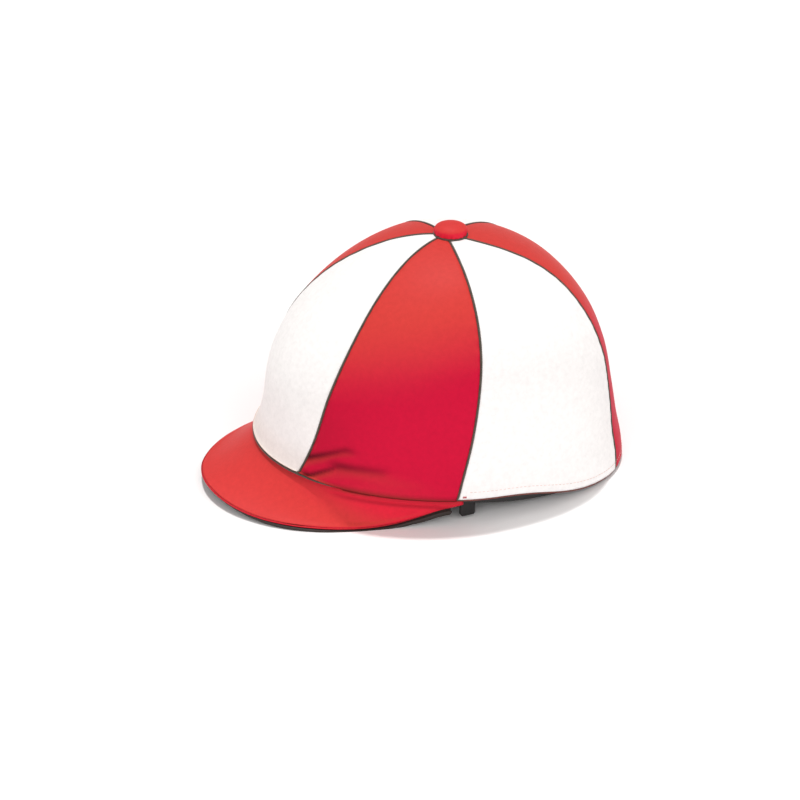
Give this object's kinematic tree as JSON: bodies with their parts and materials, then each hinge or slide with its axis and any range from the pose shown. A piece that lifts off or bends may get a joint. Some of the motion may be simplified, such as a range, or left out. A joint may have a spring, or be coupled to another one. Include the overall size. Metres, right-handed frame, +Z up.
{
  "type": "jockey cap",
  "caption": "Jockey's skull cap under a red and white stretch cover with a short peak and a covered button, at rest on a table.",
  "frame": {"origin": "on the table below the middle of the cap's length and width, as it rests", "axes": "+Z up, -Y towards the front of the cap, +X towards the wearer's left"},
  "size_m": [0.2324, 0.3354, 0.1947],
  "materials": {
    "cloth_red": "smooth satin-faced stretch cloth",
    "cloth_white": "smooth satin-faced stretch cloth",
    "seam_thread": "dark overlocked thread",
    "hem_binding": "narrow turned hem edge",
    "shell_black": "moulded, satin black",
    "board_black": "black covered board",
    "tab_black": "black webbing"
  },
  "bodies": {
    "root": {"panel_front": "cloth_white", "panel_front_left": "cloth_red", "panel_rear_left": "cloth_white", "panel_rear": "cloth_red", "panel_rear_right": "cloth_white", "panel_front_right": "cloth_red", "seam_left_front": "seam_thread", "seam_left_side": "seam_thread", "seam_left_rear": "seam_thread", "seam_right_front": "seam_thread", "seam_right_side": "seam_thread", "seam_right_rear": "seam_thread", "peak_seam": "seam_thread", "hem_edge": "hem_binding", "skull_shell": "shell_black", "peak_cover": "cloth_red", "peak_board": "board_black", "button": "cloth_red", "ear_tab_left": "tab_black", "ear_tab_right": "tab_black"}
  },
  "joints": []
}
